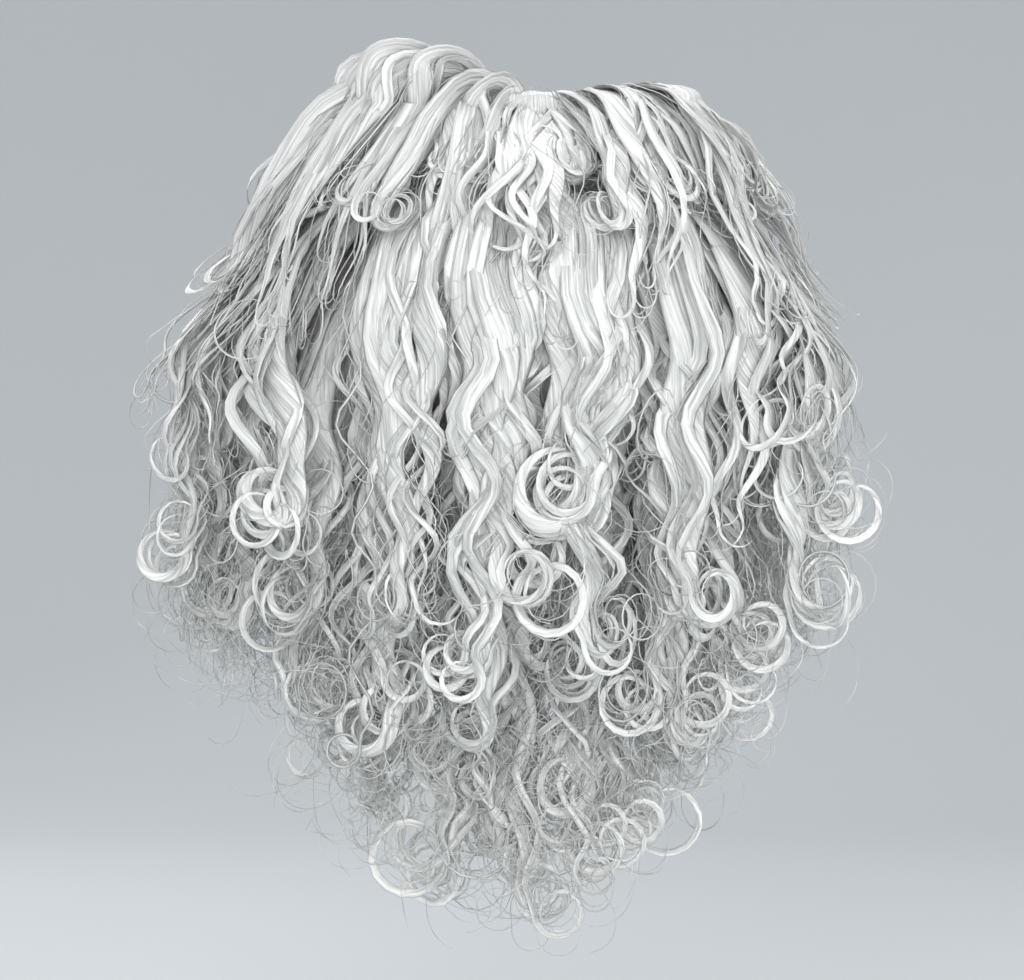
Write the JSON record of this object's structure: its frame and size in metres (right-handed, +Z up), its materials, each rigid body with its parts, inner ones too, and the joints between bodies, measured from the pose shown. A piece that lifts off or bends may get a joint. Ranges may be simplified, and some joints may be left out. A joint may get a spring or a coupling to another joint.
{
  "type": "fake beard",
  "caption": "Long curly costume beard: cloth face piece with a mouth slot, moustache and layered hanging locks of white synthetic hair, held on by an elastic strap.",
  "frame": {"origin": "middle of the upper lip, on the inside of the face piece", "axes": "-Y the way the beard faces, +Y into the head, +Z up, +X to the right of a viewer in front"},
  "size_m": [0.3877, 0.2607, 0.4723],
  "materials": {
    "backing_cloth": "matt white knitted backing",
    "hair": "glossy white synthetic fibre",
    "elastic": "matt white woven elastic"
  },
  "bodies": {
    "root": {"face_piece": "backing_cloth", "chin_locks": "hair", "jaw_locks": "hair", "cheek_locks": "hair", "moustache": "hair", "elastic_strap": "elastic"}
  },
  "joints": []
}
